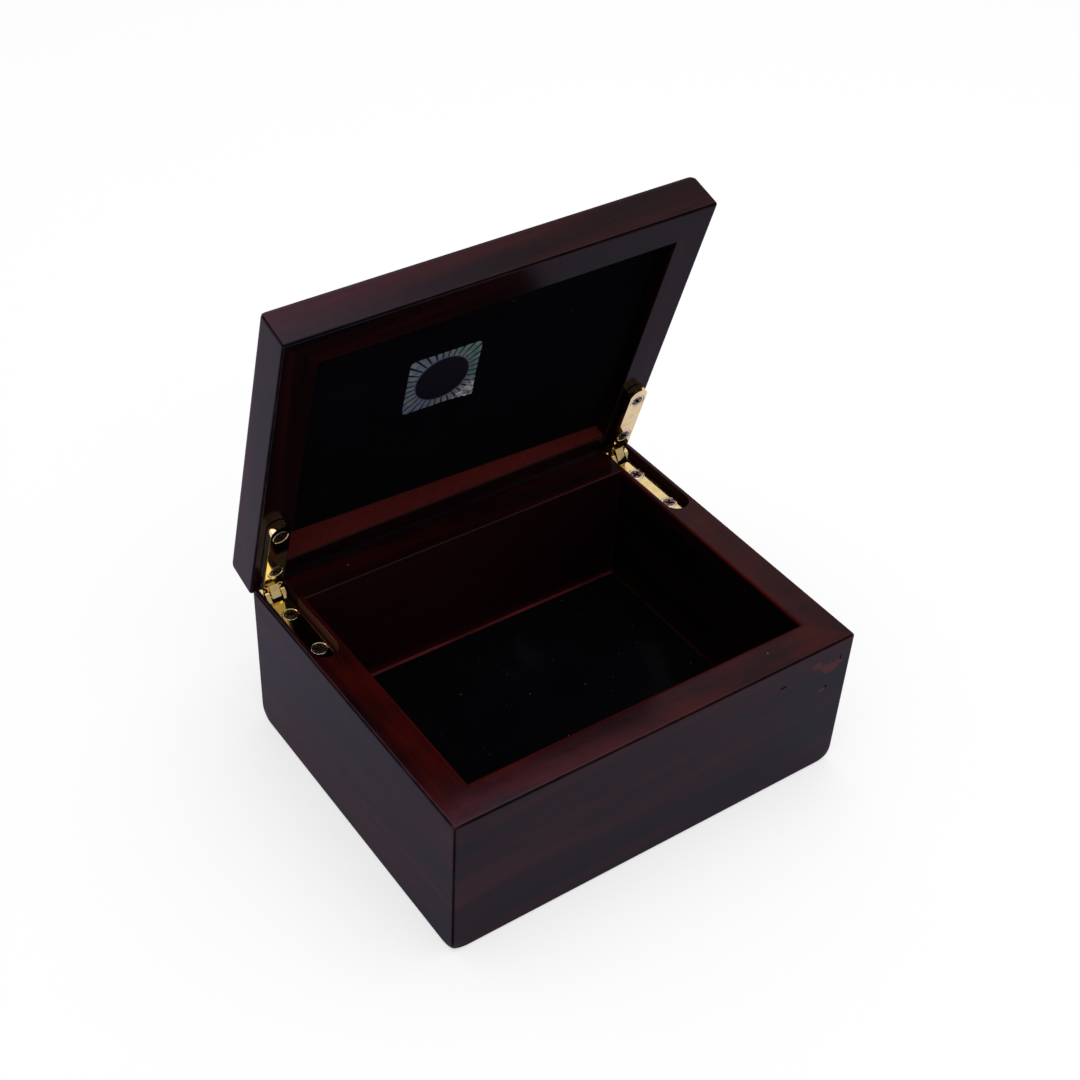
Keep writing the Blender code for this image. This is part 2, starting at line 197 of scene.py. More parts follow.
def pick(obj, kind, wanted):
    """In edit mode, selects the faces, edges or points that wanted accepts, and nothing else."""
    bpy.ops.mesh.select_mode(type=kind)
    bpy.ops.mesh.select_all(action="DESELECT")
    bm = bmesh.from_edit_mesh(obj.data)
    for item in {"FACE": bm.faces, "EDGE": bm.edges, "VERT": bm.verts}[kind]:
        item.select_set(bool(wanted(item)))
    bmesh.update_edit_mesh(obj.data)


def settle(obj):
    """Puts obj's place, turn and size into its mesh."""
    only(obj)
    bpy.ops.object.transform_apply(location=True, rotation=True, scale=True)


def named(name):
    """Names the object that was just added and puts its place into its mesh."""
    obj = bpy.context.object
    obj.name = name
    obj.data.name = name
    settle(obj)
    return obj


def add_block(name, low, high):
    low, high = Vector(low), Vector(high)
    deselect()
    bpy.ops.mesh.primitive_cube_add(size=1, location=(low + high) / 2, scale=high - low)
    return named(name)


def add_rod(name, radius, low, high, turn=(0, 0, 0), sides=48, top_radius=None):
    """A round rod or cone along Z between two heights, then turned about the origin."""
    deselect()
    bpy.ops.mesh.primitive_cone_add(
        vertices=sides, radius1=radius, radius2=radius if top_radius is None else top_radius,
        depth=high - low, location=(0, 0, (low + high) / 2))
    obj = named(name)
    obj.rotation_euler = turn
    settle(obj)
    return obj


def copy_of(obj, name):
    only(obj)
    bpy.ops.object.duplicate()
    copy = bpy.context.object
    copy.name = name
    copy.data.name = name
    return copy


def move(obj, by):
    obj.location = by
    settle(obj)
    return obj


def apply(obj, kind, **settings):
    """Adds a modifier, sets it and applies it."""
    only(obj)
    modifier = obj.modifiers.new(kind.lower(), kind)
    for setting, value in settings.items():
        setattr(modifier, setting, value)
    bpy.ops.object.modifier_apply(modifier=modifier.name)


def work(obj, tool, operation="DIFFERENCE"):
    """Cuts obj with the tool, or joins them, and takes the tool away."""
    apply(obj, "BOOLEAN", operation=operation, solver="EXACT", object=tool)
    bpy.data.objects.remove(tool)


def saw(obj, point, normal):
    """Saws off what lies on the normal's side of a plane and closes the cut."""
    edit(obj)
    bpy.ops.mesh.select_all(action="SELECT")
    bpy.ops.mesh.bisect(plane_co=point, plane_no=normal, use_fill=True, clear_outer=True, threshold=TOLERANCE)
    leave()


def score(obj, axis, places):
    """Divides obj by planes square to an axis at these places, so that it can be shaped finely."""
    edit(obj)
    for place in places:
        bpy.ops.mesh.select_all(action="SELECT")
        bpy.ops.mesh.bisect(plane_co=axis * place, plane_no=axis, threshold=TOLERANCE)
    leave()


def round_edges(obj, widest, share):
    """Rounds edges by the share of the widest radius that share(first end, second end) gives."""
    weights = obj.data.attributes.new("bevel_weight_edge", "FLOAT", "EDGE")
    points = obj.data.vertices
    for edge in obj.data.edges:
        weights.data[edge.index].value = share(*(points[index].co for index in edge.vertices))
    apply(obj, "BEVEL", limit_method="WEIGHT", width=widest, segments=CURVE_STEPS)


def round_upright(obj, radius, segments, wanted=lambda point: True):
    """Rounds the upright edges with both ends where wanted accepts them."""
    def chosen(edge):
        first, second = (vert.co for vert in edge.verts)
        return not same(first.z, second.z) and wanted(first) and wanted(second)
    edit(obj)
    pick(obj, "EDGE", chosen)
    bpy.ops.mesh.bevel(offset=radius, segments=segments, affect="EDGES")
    leave()


def cut_squares(obj, spacing):
    """Divides a level piece into squares, so that its faces can be shaped."""
    for axis in (X_AXIS, Y_AXIS):
        count = int(max(vert.co.dot(axis) for vert in obj.data.vertices) / spacing)
        score(obj, axis, [spacing * step for step in range(-count, count + 1)])


def shade(obj):
    """Smooth curves between flat faces that stay flat."""
    only(obj)
    bpy.ops.object.shade_smooth_by_angle(angle=SMOOTH_ANGLE)
    apply(obj, "WEIGHTED_NORMAL", keep_sharp=True, weight=100)


def open_lid(obj):
    """Turns a piece of the shut lid about the hinge line to where the lid stands open."""
    only(obj)
    bpy.ops.transform.rotate(value=LID_OPENING, orient_axis="X", center_override=HINGE_LINE)
    settle(obj)


def same(first, second):
    return abs(first - second) < TOLERANCE


def hand_in(obj, body, node, material):
    """Opens a piece of the lid, shades it, and says what it rides on, stands for and is made of."""
    if body == "lid":
        open_lid(obj)
    shade(obj)
    obj.data.materials.clear()
    obj.data.materials.append(material)
    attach(obj, body)
    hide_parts(node)


# Finishes

class Wiring:
    """The tools that a node tree is wired with. A pattern with no vector reads the piece's own place."""

    place = None

    def __init__(self, tree):
        self.tree = tree

    def node(self, kind, **settings):
        made = self.tree.nodes.new("ShaderNode" + kind)
        for setting, value in settings.items():
            setattr(made, setting, value)
        return made

    def feed(self, socket, source):
        """Links a source to a socket, or sets the socket if the source is a plain value."""
        if isinstance(source, bpy.types.NodeSocket):
            self.tree.links.new(source, socket)
        else:
            socket.default_value = source

    def mapped(self, vector=None, scale=(1, 1, 1), shift=(0, 0, 0), turn=(0, 0, 0)):
        made = self.node("Mapping")
        made.inputs["Scale"].default_value = scale
        made.inputs["Location"].default_value = shift
        made.inputs["Rotation"].default_value = turn
        self.feed(made.inputs["Vector"], vector or self.place)
        return made.outputs["Vector"]

    def noise(self, vector=None, scale=1.0, detail=3.0, roughness=0.5, distortion=0.0):
        made = self.node("TexNoise")
        self.feed(made.inputs["Vector"], vector or self.place)
        for socket, value in (("Scale", scale), ("Detail", detail), ("Roughness", roughness),
                              ("Distortion", distortion)):
            made.inputs[socket].default_value = value
        return made.outputs["Fac"]

    def math(self, operation, first, second=0.0):
        made = self.node("Math", operation=operation)
        self.feed(made.inputs[0], first)
        self.feed(made.inputs[1], second)
        return made.outputs[0]

    def plus(self, first, second):
        return self.math("ADD", first, second)

    def minus(self, first, second):
        return self.math("SUBTRACT", first, second)

    def times(self, first, second):
        return self.math("MULTIPLY", first, second)

    def over(self, first, second):
        return self.math("DIVIDE", first, second)

    def larger(self, first, second):
        return self.math("MAXIMUM", first, second)

    def smaller(self, first, second):
        return self.math("MINIMUM", first, second)

    def absolute(self, value):
        return self.math("ABSOLUTE", value)

    def above(self, value, limit):
        return self.math("GREATER_THAN", value, limit)

    def below(self, value, limit):
        return self.math("LESS_THAN", value, limit)

    def between(self, value, low, high):
        """1 where value lies between low and high, else 0."""
        return self.times(self.above(value, low), self.below(value, high))

    def fade(self, value, low, high, start=0.0, end=1.0):
        """Goes smoothly from start to end while value goes from low to high."""
        made = self.node("MapRange", interpolation_type="SMOOTHSTEP")
        self.feed(made.inputs["Value"], value)
        for socket, number in (("From Min", low), ("From Max", high), ("To Min", start), ("To Max", end)):
            made.inputs[socket].default_value = number
        return made.outputs["Result"]

    def ramp(self, value, *stops):
        """Colours along a value: each stop is its place and its colour."""
        made = self.node("ValToRGB")
        self.feed(made.inputs["Fac"], value)
        elements = made.color_ramp.elements
        while len(elements) < len(stops):
            elements.new(0.5)
        for element, (place, colour) in zip(elements, stops):
            element.position = place
            element.color = (*colour, 1)
        return made.outputs["Color"]

    def mix(self, factor, first, second):
        """Goes from the first colour to the second as factor goes from 0 to 1."""
        made = self.node("Mix", data_type="RGBA")
        self.feed(made.inputs["Factor"], factor)
        for socket, colour in ((made.inputs[6], first), (made.inputs[7], second)):
            self.feed(socket, (*colour, 1) if isinstance(colour, tuple) else colour)
        return made.outputs[2]

    def split(self, vector=None):
        made = self.node("SeparateXYZ")
        self.feed(made.inputs[0], vector or self.place)
        return made.outputs

    def length(self, x, y):
        return self.math("SQRT", self.plus(self.times(x, x), self.times(y, y)))

    def bump(self, height, distance, strength=1.0):
        made = self.node("Bump")
        self.feed(made.inputs["Height"], height)
        made.inputs["Distance"].default_value = distance
        made.inputs["Strength"].default_value = strength
        return made.outputs["Normal"]

    def seen(self):
        """1 for a ray from the camera or a reflection, so that metal shows the white room too."""
        path = self.node("LightPath").outputs
        mirrored = self.larger(path["Is Glossy Ray"], path["Is Transmission Ray"])
        return self.larger(path["Is Camera Ray"], mirrored)


class Finish(Wiring):
    """A Principled material."""

    def __init__(self, name, lid=False, centre=(0, 0, 0), turn=0.0, **constants):
        self.material = bpy.data.materials.new(name)
        self.material.use_nodes = True
        super().__init__(self.material.node_tree)
        self.shader = self.tree.nodes["Principled BSDF"]
        for socket, value in constants.items():
            self.shader.inputs[socket.replace("_", " ").title().replace("Ior", "IOR")].default_value = value
        self.place = self.node("TexCoord").outputs["Object"]
        if lid:
            shut = Euler((LID_OPENING, 0, 0)).to_matrix()
            self.place = self.mapped(shift=HINGE_LINE - shut @ HINGE_LINE, turn=(LID_OPENING, 0, 0))
        if turn or any(centre):
            self.place = self.mapped(shift=-Vector(centre))
            self.place = self.mapped(turn=(0, 0, -turn))

    def set(self, socket, source):
        self.feed(self.shader.inputs[socket], source)


# Stains and lacquer of the boards, with the shade and light painted on them
NEARLY_BLACK = (0.0026, 0.0018, 0.0030)
DARK_MAHOGANY = (0.010, 0.0016, 0.0018)
MAHOGANY = (0.021, 0.0028, 0.0030)
RED_MAHOGANY = (0.040, 0.0058, 0.0056)
RIM_DARK = (0.012, 0.0018, 0.0018)
RIM_RED = (0.027, 0.0024, 0.0019)
RIM_BRIGHT = (0.044, 0.0036, 0.0024)
RIM_GLOSS = 0.25
# Dark red painted as shade inside the body and the lid's frame
SHADED_INNER_RED = (0.0135, 0.0027, 0.0031)
# Red painted as light on the inside of the lid's rail at the hinges
LIT_RECESS_RED = (0.088, 0.0126, 0.0110)
# Painted highlight at the foot of the inner walls
FOOT_HIGHLIGHT_RED = (0.40, 0.058, 0.064)
ARRIS_RED = (0.080, 0.0060, 0.0036)
BARE_BROWN = (0.072, 0.028, 0.021)
# Bare slot wood painted darker as the lid's shade
SHADED_SLOT_BROWN = (0.022, 0.008, 0.006)
CHIPPED = (0.088, 0.032, 0.038)
SCUFFED = (0.20, 0.13, 0.13)

# Velvet, felt and plywood
VELVET = (0.0020, 0.0020, 0.0030)
VELVET_NAP = (0.0032, 0.0032, 0.0044)
SMUDGE = (0.0085, 0.0085, 0.0098)
LINT = (0.17, 0.17, 0.18)
FELT = (0.016, 0.016, 0.018)
FELT_FIBRE = (0.05, 0.05, 0.053)
PLYWOOD = (0.20, 0.12, 0.07)
PLYWOOD_PALE = (0.36, 0.24, 0.14)
GLUE_LINE = (0.12, 0.07, 0.04)

# Brass
BRASS_TARNISHED = (0.76, 0.57, 0.21)
BRASS = (0.92, 0.75, 0.34)
HEAD_RING = (0.92, 0.84, 0.66)
HEAD_DIRT = (0.045, 0.032, 0.024)
HEAD_GLINT = (0.46, 0.38, 0.26)
HEAD_EDGE = (0.06, 0.045, 0.03)

# Foil
RAYS = 32
TEAL = (0.17, 0.35, 0.37)
LIME = (0.33, 0.38, 0.30)
MINT = (0.36, 0.46, 0.42)
ROSE = (0.38, 0.27, 0.34)
BLUE = (0.20, 0.30, 0.44)
FOIL_WORN = (0.10, 0.12, 0.13)
RAY_LINE = (0.016, 0.016, 0.020)
# Bare silver of the crinkled corner, in painted shade and painted highlight
CREASE_SHADE_SILVER = (0.10, 0.10, 0.12)
CREASE_HIGHLIGHT_SILVER = (0.75, 0.74, 0.78)
RING_VIOLET = (0.16, 0.13, 0.21)
DISC_BLACK = (0.007, 0.006, 0.012)

# For each board: how glossy it is, how red its rim (the back rim less red as painted shade under the lid),
# and the colour and share of the painted shade inside (on the lid's back rail, painted red light)
BOARD_LOOKS = {
    "front_wall": (0.34, 0.92, NEARLY_BLACK, 0.5),
    "right_wall": (0.26, 0.92, NEARLY_BLACK, 0.65),
    "back_wall": (0.26, 0.2, SHADED_INNER_RED, 0.85),
    "left_wall": (0.28, 0.92, NEARLY_BLACK, 0.5),
    "lid_front_rail": (0.235, 0.0, NEARLY_BLACK, 0.85),
    "lid_right_rail": (0.23, 0.0, NEARLY_BLACK, 0.85),
    "lid_back_rail": (0.20, 0.0, LIT_RECESS_RED, 0.9),
    "lid_left_rail": (0.29, 0.0, NEARLY_BLACK, 0.8),
    "lid_top_panel": (0.26, 0.0, NEARLY_BLACK, 0.7),
}

# Patches of the front, each as its place along X and Z and its reach along both
CHIPS = ((0.0674, 0.0466, 0.0038, 0.0024), (0.0700, 0.0475, 0.0023, 0.0013),
         (0.0610, 0.0501, 0.0021, 0.0016), (0.0640, 0.0483, 0.0020, 0.0010),
         (0.0655, 0.0374, 0.0017, 0.0008))
SCRATCHES = ((0.0711, 0.0490, 0.0004, 0.0014), (0.0668, 0.0383, 0.0004, 0.0011),
             (0.0475, 0.0478, 0.0016, 0.0005))


def edge_nearness(finish, low, high, top_radius):
    """How far a point of the outside lies from the nearest outer edge, in radii of its rounding."""
    x, y, z = finish.split()
    from_side = finish.minus(HALF_WIDTH, finish.absolute(x))
    from_front = finish.minus(HALF_DEPTH, finish.absolute(y))
    nearest = finish.smaller(from_side, from_front)
    from_top = finish.larger(nearest, finish.minus(high, z))
    from_foot = finish.larger(nearest, finish.minus(z, low))
    from_corner = finish.larger(from_side, from_front)
    others = finish.over(finish.smaller(from_foot, from_corner), EDGE_RADIUS)
    return finish.smaller(finish.over(from_top, top_radius), others)


def past_mouth(finish):
    """How far a point lies outside the hollow, seen from above; less than 0 inside it."""
    x, y, _ = finish.split()
    return finish.larger(finish.minus(finish.absolute(x), HALF_WIDTH - WALL),
                         finish.minus(finish.absolute(y), HALF_DEPTH - WALL))


def in_slot(finish):
    """1 on the bare wood inside the slot of a hinge, else 0."""
    x, y, z = finish.split()
    across = finish.between(finish.absolute(x), HINGE_X - 0.0047, HINGE_X + 0.0047)
    along = finish.between(y, HINGE_LINE.y - LEAF_LENGTH - 0.003, 1)
    return finish.times(finish.times(across, along),
                        finish.between(z, SLOT_FLOOR - TOLERANCE, BODY_TOP - 0.0002))


def nearest_patch(finish, patches):
    """How near a point of the front lies to ragged patches, in about their own reach."""
    x, _, z = finish.split()
    ragged = finish.noise(scale=420, detail=4, roughness=0.65)
    nearest = 9.0
    for centre_x, centre_z, wide, high in patches:
        off_x = finish.over(finish.minus(x, centre_x), wide)
        off_z = finish.over(finish.minus(z, centre_z), high)
        off = finish.plus(finish.times(off_x, off_x), finish.times(off_z, off_z))
        nearest = finish.smaller(nearest, finish.plus(off, finish.times(ragged, 2.0)))
    return nearest


def dots(finish, scale, share, low, high):
    """Small dots strewn over a level face, one in a share of the cells of this scale."""
    cells = finish.node("TexVoronoi", feature="F1", voronoi_dimensions="2D")
    finish.feed(cells.inputs["Vector"], finish.place)
    cells.inputs["Scale"].default_value = scale
    chosen = finish.below(finish.split(cells.outputs["Color"])[0], share)
    return finish.times(finish.fade(cells.outputs["Distance"], low, high, 1.0, 0.0), chosen)


def stretched(along, run, cross):
    """The scale of a pattern that is drawn out along X or Y."""
    return (run, cross, cross) if along == "X" else (cross, run, cross)


def stained_grain(finish, along, seed):
    """The colour of stained mahogany with its grain along X or Y, and its fine pores."""
    board = finish.mapped(shift=(0.37 * seed, 0.53 * seed, 0.71 * seed),
                          turn=(math.radians(3), math.radians(2.5), math.radians(1.5)))
    figure = finish.noise(finish.mapped(board, scale=stretched(along, 7, 95)), detail=3, distortion=0.5)
    streaks = finish.noise(finish.mapped(board, scale=stretched(along, 16, 420)), detail=4, roughness=0.6)
    pores = finish.noise(finish.mapped(board, scale=stretched(along, 110, 2600)), detail=2)
    tone = finish.plus(finish.times(figure, 0.78), finish.times(streaks, 0.22))
    tone = finish.plus(tone, -0.03 if seed < 5 else (0.03 if seed == 5 else 0.0))
    stain = finish.ramp(tone, (0.36, NEARLY_BLACK), (0.46, DARK_MAHOGANY), (0.56, MAHOGANY),
                        (0.74, RED_MAHOGANY))
    return finish.mix(finish.fade(pores, 0.52, 0.70, 0.0, 0.25), stain, NEARLY_BLACK), pores


def stained_hollow(finish, stain, node, clouds):
    """Paints the inside of the body darker as shade, with a painted red glow and highlight line where its
    walls meet the velvet.
    """
    _, _, colour, share = BOARD_LOOKS[node]
    x, _, z = finish.split()
    past = past_mouth(finish)
    hollow = finish.times(finish.below(past, TOLERANCE), finish.below(z, BODY_TOP - ARRIS_RADIUS))
    # The inside painted darker as shade; the back wall dark red, and nearly black towards its right as
    # painted shade
    stain = finish.mix(finish.times(hollow, share), stain, colour)
    if node == "back_wall":
        shaded = finish.times(hollow, finish.fade(x, -0.020, 0.045, 0.0, 0.5))
        stain = finish.mix(shaded, stain, NEARLY_BLACK)
    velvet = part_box("floor_pad")[1][2]
    strong = 1.0 if node == "back_wall" else 0.16
    # A painted red reflection glowing up from the velvet, and a painted highlight line at the walls' foot and
    # in the back wall's inner corners
    painted_glow = finish.times(finish.fade(z, velvet, velvet + 0.0045, 0.075 * strong, 0.0),
                        finish.fade(clouds, 0.3, 0.7, 0.6, 1.0))
    line = finish.times(finish.fade(z, velvet + 0.0001, velvet + 0.0009, 0.65 * strong, 0.0),
                        finish.fade(clouds, 0.35, 0.65, 0.5, 1.0))
    if node == "back_wall":
        from_corner = finish.minus(HALF_WIDTH - WALL, finish.absolute(x))
        line = finish.larger(line, finish.fade(from_corner, 0.0003, 0.0016, 0.025, 0.0))
    lit = finish.times(hollow, finish.larger(painted_glow, line))
    return finish.mix(lit, stain, FOOT_HIGHLIGHT_RED)


def stained_recess(finish, stain, node, clouds):
    """Paints the inside of the lid's frame nearly black as shade: only the rail at the hinges gets a painted
    red light, and the right rail lightens towards the hinges.
    """
    _, _, colour, share = BOARD_LOOKS[node]
    _, y, z = finish.split()
    recess = finish.times(finish.below(past_mouth(finish), TOLERANCE),
                          finish.between(z, LID_RIM + ARRIS_RADIUS, LID_STEP_HEIGHT + TOLERANCE))
    # Painted red light on the rail at the hinges, painted shade inside the other rails
    if node == "lid_back_rail":
        pebbles = finish.noise(scale=900, detail=2)
        share = finish.times(finish.fade(pebbles, 0.3, 0.7, 0.75, 1.0),
                             finish.fade(clouds, 0.25, 0.75, 0.85, 1.0))
    stain = finish.mix(finish.times(recess, share), stain, colour)
    # On the right rail the painted shade lightens to a dark red towards the hinges
    if node == "lid_right_rail":
        low_end = finish.times(recess, finish.fade(y, 0.018, 0.046, 0.0, 0.7))
        stain = finish.mix(low_end, stain, SHADED_INNER_RED)
    return stain


def redden_rim(finish, stain, node, along, clouds, rim):
    """The rim of the body, redder than its sides, streaked along the board and scuffed."""
    streaks = finish.noise(finish.mapped(scale=stretched(along, 20, 260)), detail=4, roughness=0.65)
    mottled = finish.plus(finish.times(streaks, 0.55), finish.times(clouds, 0.45))
    red = finish.ramp(mottled, (0.38, RIM_DARK), (0.50, RIM_RED), (0.64, RIM_BRIGHT))
    x, y, _ = finish.split()
    patchy = finish.fade(mottled, 0.35, 0.60, 1.0, 0.45)
    if node == "left_wall":
        outer = finish.fade(finish.plus(x, HALF_WIDTH), 0.002, 0.0055, 0.85, 0.0)
        dark = finish.times(outer, finish.fade(y, -0.050, -0.036))
        red = finish.mix(finish.times(dark, patchy), red, NEARLY_BLACK)
    if node == "front_wall":
        inner = finish.fade(finish.plus(y, HALF_DEPTH), 0.0055, 0.0095, 0.0, 0.8)
        ends = finish.times(finish.fade(x, -0.052, -0.036), finish.fade(x, 0.015, 0.040, 1.0, 0.0))
        red = finish.mix(finish.times(finish.times(inner, ends), patchy), red, DARK_MAHOGANY)
    if node == "right_wall":
        worn = finish.fade(y, -0.046, -0.018, 0.65, 0.0)
        red = finish.mix(finish.times(worn, patchy), red, DARK_MAHOGANY)
    if node != "back_wall":
        rubbed = finish.times(finish.fade(past_mouth(finish), 0.0004, 0.0012, 0.45, 0.0),
                              finish.fade(y, -0.015, 0.020, 1.0, 0.12))
        red = finish.mix(rubbed, red, ARRIS_RED)
    share = BOARD_LOOKS[node][1]
    stain = finish.mix(finish.times(rim, share), stain, red)
    scuffs = finish.times(dots(finish, 45, 0.16, 0.008, 0.018), rim)
    return finish.mix(finish.times(scuffs, 0.8), stain, SCUFFED)


def chip_front(finish, stain, coat):
    """Flaked lacquer, with a painted shadow round each flake, and dark scratches below the front's right-hand
    top corner.
    """
    on_front = finish.below(finish.split()[1], EDGE_RADIUS - HALF_DEPTH)
    off = nearest_patch(finish, CHIPS)
    # A painted shadow round the edge of the flakes
    edge = finish.times(finish.fade(off, 1.7, 2.3, 0.75, 0.0), on_front)
    bare = finish.times(finish.below(off, 1.75), on_front)
    dark = finish.times(finish.fade(nearest_patch(finish, SCRATCHES), 1.5, 2.2, 0.9, 0.0), on_front)
    stain = finish.mix(finish.larger(edge, dark), stain, NEARLY_BLACK)
    stain = finish.mix(bare, stain, CHIPPED)
    dull = finish.larger(finish.times(bare, 0.7), dark)
    return stain, finish.times(coat, finish.minus(1.0, dull))


def painted_dark_arris(finish, low, high, top_radius):
    """How dark the outer edges are painted, a little wandering: painted dark reflection and shade on their
    rounding.
    """
    wander = finish.noise(scale=160, detail=3)
    nearness = finish.plus(edge_nearness(finish, low, high, top_radius),
                           finish.times(finish.minus(wander, 0.5), 0.5))
    return finish.fade(nearness, 0.38, 0.70, 0.88, 0.0)


def corner_without_painted_dark(finish):
    """How much of the painted dark edge is left off at the top of the body's corners, so that their own
    highlight shows.
    """
    x, y, z = finish.split()
    from_corner = finish.larger(finish.minus(HALF_WIDTH, finish.absolute(x)),
                                finish.minus(HALF_DEPTH, finish.absolute(y)))
    return finish.times(finish.fade(from_corner, 0.0008, 0.0030, 0.85, 0.0),
                        finish.fade(z, BODY_TOP - 0.0012, BODY_TOP - 0.0006))


def lacquered_board(name, node, along, seed, lid=False):
    """Mahogany stain under gloss lacquer, its grain along X or Y, each board cut from another place."""
    finish = Finish(name, lid=lid, roughness=0.5, specular_ior_level=0.0, coat_roughness=0.16, coat_ior=1.5)
    gloss = BOARD_LOOKS[node][0]
    stain, pores = stained_grain(finish, along, seed)
    clouds = finish.noise(scale=55, detail=3)
    height = finish.split()[2]
    if lid:
        stain = stained_recess(finish, stain, node, clouds)
        rim = finish.fade(height, LID_RIM + 0.0002, LID_RIM + 0.0008, 0.55, 0.0)
        stain = finish.mix(rim, stain, NEARLY_BLACK)
        coat = gloss
        arris = painted_dark_arris(finish, LID_RIM, LID_TOP, LID_EDGE_RADIUS)
    else:
        stain = stained_hollow(finish, stain, node, clouds)
        rim = finish.fade(height, BODY_TOP - 0.0008, BODY_TOP - 0.0002)
        stain = redden_rim(finish, stain, node, along, clouds, rim)
        polish = 1.0 if node == "back_wall" else finish.fade(past_mouth(finish), 0.0003, 0.0014)
        coat = finish.times(finish.mix(rim, (gloss, gloss, gloss), (RIM_GLOSS, RIM_GLOSS, RIM_GLOSS)), polish)
        arris = painted_dark_arris(finish, WALL_FOOT, BODY_TOP, EDGE_RADIUS)
        arris = finish.times(arris, finish.minus(1.0, corner_without_painted_dark(finish)))
    # The outer edges painted dark as dark reflection and shade, and the coat thinned there
    stain = finish.mix(arris, stain, NEARLY_BLACK)
    coat = finish.times(coat, finish.minus(1.0, arris))
    if not lid:
        bare = in_slot(finish)
        # Bare wood in the slots; off the left wall it is painted a darker brown as shade
        stain = finish.mix(bare, stain, BARE_BROWN if node == "left_wall" else SHADED_SLOT_BROWN)
        coat = finish.times(coat, finish.minus(1.0, bare))
    if node == "front_wall":
        stain, coat = chip_front(finish, stain, coat)
    finish.set("Base Color", stain)
    finish.set("Coat Weight", coat)
    peel = finish.noise(scale=420, detail=2)
    waves = finish.noise(scale=105, detail=1)
    finish.set("Coat Normal", finish.bump(finish.plus(peel, finish.times(waves, 4.0)), 0.00003, 0.5))
    finish.set("Normal", finish.bump(pores, 0.00005, 0.3))
    return finish.material


def black_velvet(name, lid=False):
    """Deep pile: nearly black, a cool sheen that the nap breaks up, smudges and white specks of lint."""
    finish = Finish(name, lid=lid, roughness=1.0, specular_ior_level=0.0, sheen_weight=0.008,
                    sheen_roughness=0.4, sheen_tint=(0.75, 0.8, 1.0, 1.0))
    nap = finish.noise(scale=38, detail=4, roughness=0.6)
    pile = finish.noise(scale=2600, detail=2)
    ground = finish.ramp(nap, (0.35, VELVET), (0.7, VELVET_NAP))
    smudge = finish.fade(finish.noise(scale=34, detail=2), 0.64, 0.78, 0.0, 0.6)
    ground = finish.mix(smudge, ground, SMUDGE)
    lint = finish.larger(dots(finish, 105, 0.02 if lid else 0.15, 0.008, 0.024),
                         finish.times(dots(finish, 230, 0.01 if lid else 0.07, 0.015, 0.05), 0.4))
    finish.set("Base Color", finish.mix(lint, ground, LINT))
    finish.set("Normal", finish.bump(pile, 0.0003, 0.8))
    return finish.material


def polished_brass(name, lid=False):
    """Bright brass with fine polishing marks along the leaf and a little tarnish."""
    finish = Finish(name, lid=lid, metallic=1.0)
    marks = finish.noise(finish.mapped(scale=(3000, 120, 3000)), detail=3)
    tarnish = finish.noise(scale=260, detail=3)
    finish.set("Base Color", finish.ramp(tarnish, (0.34, BRASS_TARNISHED), (0.62, BRASS)))
    finish.set("Roughness", finish.fade(marks, 0.3, 0.8, 0.05, 0.14))
    finish.set("Normal", finish.bump(marks, 0.00001, 0.15))
    return finish.material


def screw_brass(name, centre, lid):
    """A screw's head: a thin bright ring round a dark recess, dirty and glinting, and a dark edge."""
    finish = Finish(name, lid=lid, centre=centre, metallic=1.0)
    x, y, _ = finish.split()
    radius = finish.length(x, y)
    grime = finish.noise(scale=1400, detail=3)
    glints = finish.noise(scale=2300, detail=2, roughness=0.7)
    reach = finish.plus(radius, finish.times(grime, 0.0004))
    inner = finish.fade(reach, 0.0023, 0.0025, 1.0, 0.0)
    outer = finish.fade(reach, 0.00275, 0.0029)
    dirt = finish.ramp(glints, (0.48, HEAD_DIRT), (0.64, HEAD_GLINT))
    finish.set("Base Color", finish.mix(outer, finish.mix(inner, HEAD_RING, dirt), HEAD_EDGE))
    finish.set("Roughness", finish.fade(inner, 0.0, 1.0, 0.14, 0.34))
    return finish.material


def dark_felt():
    finish = Finish("dark_grey_felt", roughness=1.0, specular_ior_level=0.1, sheen_weight=0.2)
    fibres = finish.noise(scale=1500, detail=4, roughness=0.7, distortion=2.0)
    finish.set("Base Color", finish.ramp(fibres, (0.35, FELT), (0.7, FELT_FIBRE)))
    finish.set("Normal", finish.bump(fibres, 0.0002, 0.8))
    return finish.material


def bare_plywood():
    finish = Finish("bare_plywood", roughness=0.75)
    grain = finish.noise(finish.mapped(scale=(14, 420, 420)), detail=4)
    plies = finish.noise(finish.mapped(scale=(1, 1, 900)), detail=0)
    wood = finish.ramp(grain, (0.3, PLYWOOD), (0.7, PLYWOOD_PALE))
    finish.set("Base Color", finish.mix(finish.fade(plies, 0.45, 0.55, 0.0, 0.4), wood, GLUE_LINE))
    finish.set("Normal", finish.bump(grain, 0.0001, 0.4))
    return finish.material


